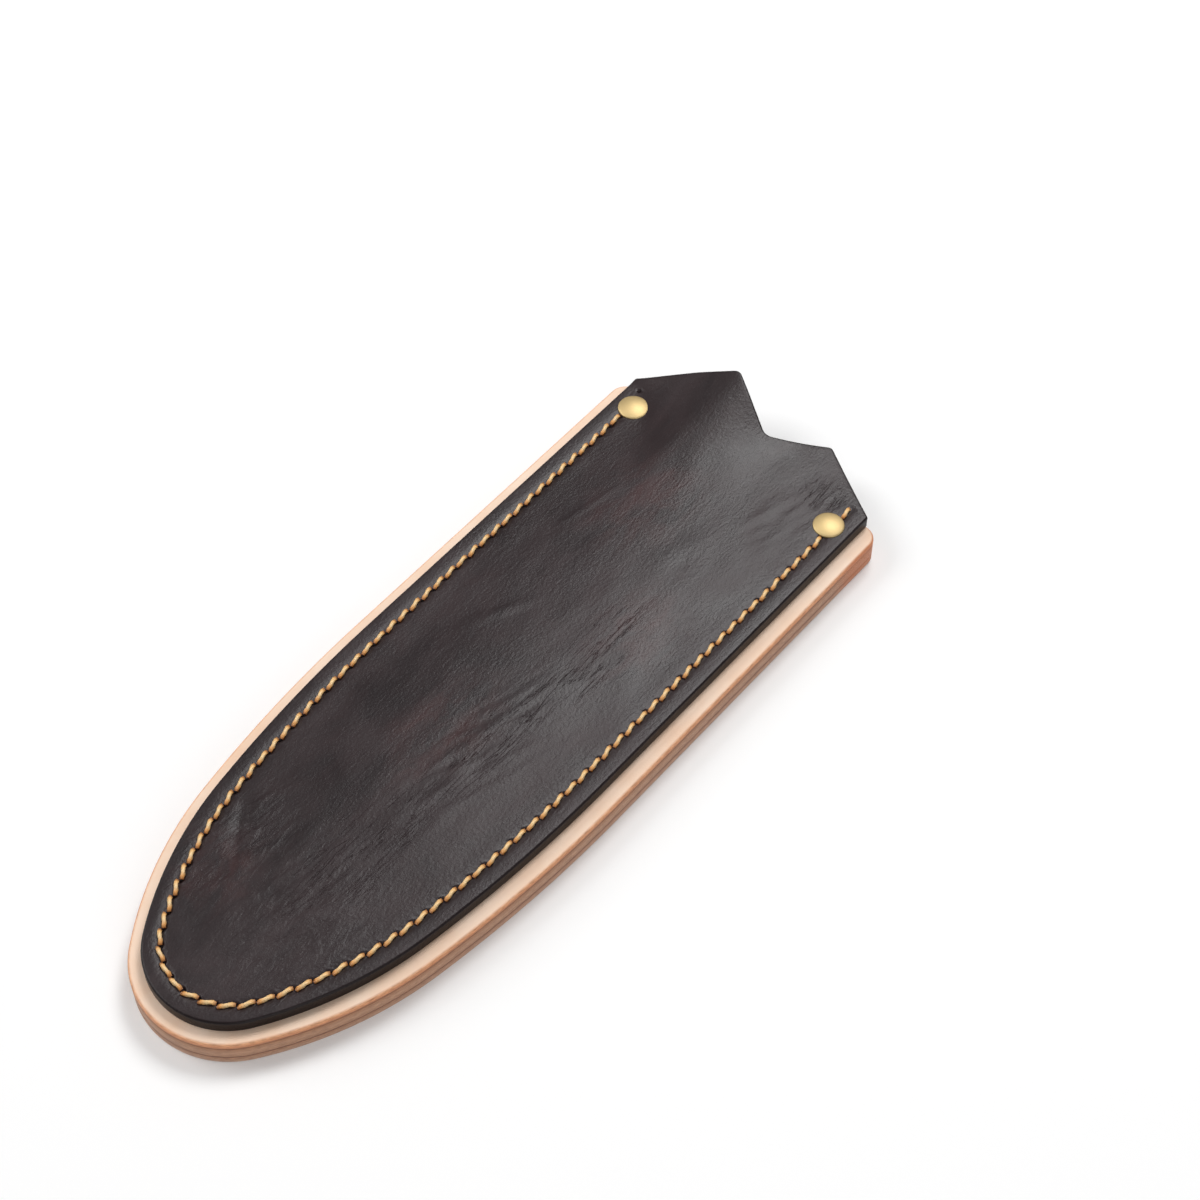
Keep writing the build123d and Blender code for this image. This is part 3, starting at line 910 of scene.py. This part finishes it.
def make_stitching(name, rows, height, sign, seed, node):
    """One face's stitches, made by the tree and kept as a plain mesh. The sign is -1 for the back."""
    sizes = {
        "Stitch Length": STITCH_LENGTH * MM, "Thread Width": THREAD_WIDTH * MM,
        "Rise": sign * THREAD_HEIGHT * MM, "Sink": sign * THREAD_SINK * MM,
        "Slant": math.radians(SLANT), "Twist": THREAD_TWIST, "Seed": seed, "Thread": THREAD}
    seam = seam_curve(name + "_seam", rows, height)
    modifier = seam.modifiers.new("stitching", "NODES")
    modifier.node_group = STITCHING
    for socket in STITCHING.interface.items_tree:
        if socket.in_out == "INPUT" and socket.name in sizes:
            modifier[socket.identifier] = sizes[socket.name]
    bpy.context.view_layer.update()
    ready = seam.evaluated_get(bpy.context.evaluated_depsgraph_get())
    mesh = bpy.data.meshes.new_from_object(ready)
    mesh.name = name
    seam.modifiers.remove(modifier)
    bpy.data.objects.remove(seam)
    mesh.shade_smooth()
    link_piece(name, mesh, node)


STITCHING = stitching_tree()
middles = [RIVET_COVER + STITCH_STEP * (i + 0.5) for i in range(STITCHES)]
left_row = [reach for reach in middles if reach < SEAM_REACH[-1] / 2][::-1]
right_row = [reach for reach in middles if reach >= SEAM_REACH[-1] / 2]
tail_row = [TAIL_HOLE - TAIL_HALF_LENGTH]
front_rows, back_rows = (left_row, right_row + tail_row), (left_row, right_row)
make_stitching("front_stitches", front_rows, FRONT_TOP + THREAD_SEAT, 1, 4, "stitching_front")
make_stitching("back_stitches", back_rows, GROOVE_DEPTH - THREAD_SEAT, -1, 9, "stitching_back")


# Rivets

def lathe(name, profile, centre, node, sides=48):
    """A brass piece turned about an upright axis from a profile of (radius, height), from crest to foot."""
    points, faces = [], []
    for radius, height in profile:
        points += [(x, y, height) for x, y in ring(centre, radius, sides)]
    for first in range(0, len(points) - sides, sides):
        for i in range(sides):
            j = (i + 1) % sides
            faces.append((first + j, first + i, first + sides + i, first + sides + j))
    faces.append(tuple(range(sides)))
    faces.append(tuple(reversed(range(len(points) - sides, len(points)))))
    if profile[0][1] < profile[-1][1]:
        faces = [face[::-1] for face in faces]
    add_piece(name, points, faces, BRASS, node)


def cap_profile(seat, sign, rise):
    """A low dome over a rounded rim, standing on a seat, or hanging from it where the sign is -1."""
    dome_radius = (CAP_RADIUS ** 2 + rise ** 2) / (2 * rise)
    profile = []
    for i in range(1, DOME_RINGS + 1):
        reach = (CAP_RADIUS - RIM_RADIUS) * i / DOME_RINGS
        height = CAP_RIM + rise - dome_radius + math.sqrt(dome_radius ** 2 - reach ** 2)
        profile.append((reach, seat + sign * height))
    for inset_by, drop in RIM_TURN:
        profile.append((CAP_RADIUS - inset_by, seat + sign * (CAP_RIM - drop)))
    return profile


for side, name in ((-1, "left"), (1, "right")):
    centre = (side * RIVET_X, RIVET_Y)
    lathe(f"front_cap_{name}", cap_profile(FRONT_TOP - CAP_SINK, 1, CAP_RISE), centre, f"rivet_cap_{name}")
    lathe(f"back_cap_{name}", cap_profile(BACK_SEAT, -1, BACK_CAP_RISE), centre, f"rivet_back_cap_{name}")
    for node in (f"rivet_socket_{name}", f"rivet_post_{name}"):
        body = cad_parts[node]
        body.data.materials.clear()
        body.data.materials.append(BRASS)


# Floor, light and camera

def make_floor():
    """A sheet of white paper that keeps the guard's shadow, and is a little white by itself to the camera."""
    mesh = bpy.data.meshes.new("paper_sheet")
    half = FLOOR_SIZE / 2
    corners = [(-half, -half, 0), (half, -half, 0), (half, half, 0), (-half, half, 0)]
    mesh.from_pydata(corners, [], [(0, 1, 2, 3)])
    material, tree = new_material("white_paper")
    paper = add(tree, "ShaderNodeBsdfDiffuse", {"Color": colour("#ffffff")})
    white = add(tree, "ShaderNodeEmission", {"Strength": 1.0})
    path = add(tree, "ShaderNodeLightPath").outputs
    seen = path["Is Camera Ray"]
    for kind in ("Is Glossy Ray", "Is Transmission Ray"):
        seen = add(tree, "ShaderNodeMath", [seen, path[kind]], operation="MAXIMUM")
    seen = add(tree, "ShaderNodeMath", [seen, PAPER_GLOW], operation="MULTIPLY")
    add(tree, "ShaderNodeOutputMaterial", [add(tree, "ShaderNodeMixShader", [seen, paper, white])])
    mesh.materials.append(material)
    floor = bpy.data.objects.new("paper_sheet", mesh)
    bpy.context.scene.collection.objects.link(floor)


def point_at(made, place, aim):
    """Puts a lamp or camera at a place and turns it to its aim."""
    made.location = place
    made.rotation_euler = (Vector(aim) - made.location).to_track_quat("-Z", "Y").to_euler()
    bpy.context.scene.collection.objects.link(made)


make_floor()
world = bpy.data.worlds.new("studio")
bpy.context.scene.world = world
world.use_nodes = True
background = world.node_tree.nodes["Background"]
background.inputs["Color"].default_value = (1, 1, 1, 1)
background.inputs["Strength"].default_value = WORLD_LEVEL
for name, place, aim, size, power in SOFT_BOXES:
    data = bpy.data.lights.new(name, "AREA")
    data.size = size
    data.energy = power
    point_at(bpy.data.objects.new(name, data), place, aim)

bpy.context.scene.view_settings.view_transform = "Standard"
camera_data = bpy.data.cameras.new("camera")
camera_data.lens = LENS
camera_data.sensor_width = SENSOR_WIDTH
camera = bpy.data.objects.new("camera", camera_data)
point_at(camera, CAMERA_PLACE, CAMERA_AIM)
bpy.context.scene.camera = camera
